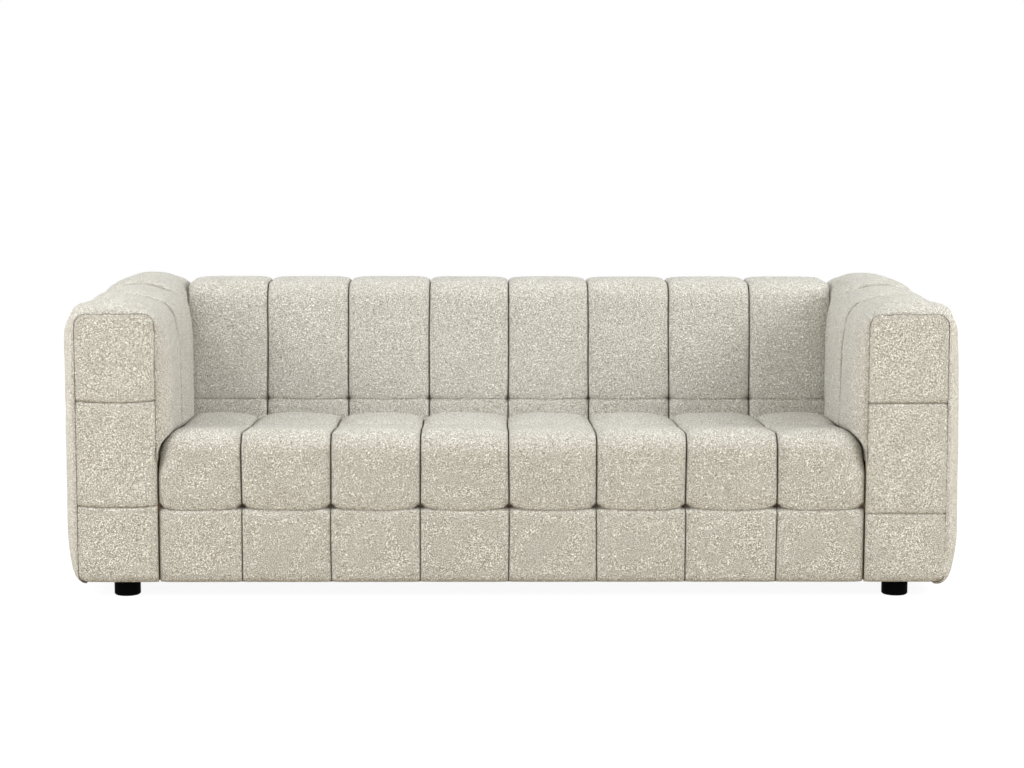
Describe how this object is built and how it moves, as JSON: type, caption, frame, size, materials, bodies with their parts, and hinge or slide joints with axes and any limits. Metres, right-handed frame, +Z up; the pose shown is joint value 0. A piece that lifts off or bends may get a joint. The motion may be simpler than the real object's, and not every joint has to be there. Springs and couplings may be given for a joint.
{
  "type": "tuxedo sofa",
  "caption": "Channel-tufted tuxedo sofa with arms as high as the back, a tight seat and short round feet.",
  "frame": {"origin": "on the floor under the middle of the sofa", "axes": "+X across the width to the right as seen from the front, the front faces -Y, +Z up"},
  "size_m": [2.232, 0.89, 0.75],
  "materials": {
    "boucle": "cream boucle, looped and matt",
    "timber": "sawn softwood and plywood, bare",
    "foam": "open-cell upholstery foam",
    "steel": "zinc-plated",
    "black_plastic": "moulded, satin",
    "webbing": "woven elastic",
    "felt": "needled felt",
    "dust_cloth": "non-woven black cloth",
    "hardboard": "pressed hardboard"
  },
  "bodies": {
    "body": {"base_front_rail": "timber", "base_rear_rail": "timber", "base_side_rails": "timber", "base_cross_rails": "timber", "seat_spring_rail": "timber", "corner_blocks": "timber", "t_nuts": "steel", "arm_bolts": "steel", "back_ribs": "timber", "back_top_rail": "timber", "back_seam_rail": "timber", "back_webbing": "webbing", "back_liner": "hardboard", "back_foam": "foam", "arm_end_boards": "timber", "arm_ribs": "timber", "arm_top_boards": "timber", "arm_outer_boards": "timber", "arm_inner_boards": "timber", "arm_foam": "foam", "seat_springs": "steel", "spring_clips": "steel", "spring_tie_wires": "steel", "deck_felt": "felt", "seat_foam": "foam", "dust_cover": "dust_cloth", "seat_channel_1": "boucle", "seat_channel_2": "boucle", "seat_channel_3": "boucle", "seat_channel_4": "boucle", "seat_channel_5": "boucle", "seat_channel_6": "boucle", "seat_channel_7": "boucle", "seat_channel_8": "boucle", "back_channel_1": "boucle", "back_channel_2": "boucle", "back_channel_3": "boucle", "back_channel_4": "boucle", "back_channel_5": "boucle", "back_channel_6": "boucle", "back_channel_7": "boucle", "back_channel_8": "boucle", "arm_front_band_left": "boucle", "arm_middle_band_left": "boucle", "arm_corner_band_left": "boucle", "arm_front_band_right": "boucle", "arm_middle_band_right": "boucle", "arm_corner_band_right": "boucle", "arm_front_panel_left": "boucle", "arm_front_panel_right": "boucle", "arm_rear_panel_left": "boucle", "arm_rear_panel_right": "boucle"},
    "foot_front_left": {"foot_front_left": "black_plastic", "foot_stud_front_left": "steel"},
    "foot_front_right": {"foot_front_right": "black_plastic", "foot_stud_front_right": "steel"},
    "foot_rear_left": {"foot_rear_left": "black_plastic", "foot_stud_rear_left": "steel"},
    "foot_rear_right": {"foot_rear_right": "black_plastic", "foot_stud_rear_right": "steel"}
  },
  "joints": [
    {"name": "foot_screw_front_left", "type": "hinge", "parent": "body", "child": "foot_front_left", "pos_m": [-0.957, -0.389, 0.038], "axis": [0, 0, 1], "continuous": true},
    {"name": "foot_screw_front_right", "type": "hinge", "parent": "body", "child": "foot_front_right", "pos_m": [0.957, -0.389, 0.038], "axis": [0, 0, 1], "continuous": true},
    {"name": "foot_screw_rear_left", "type": "hinge", "parent": "body", "child": "foot_rear_left", "pos_m": [-0.957, 0.389, 0.038], "axis": [0, 0, 1], "continuous": true},
    {"name": "foot_screw_rear_right", "type": "hinge", "parent": "body", "child": "foot_rear_right", "pos_m": [0.957, 0.389, 0.038], "axis": [0, 0, 1], "continuous": true}
  ]
}
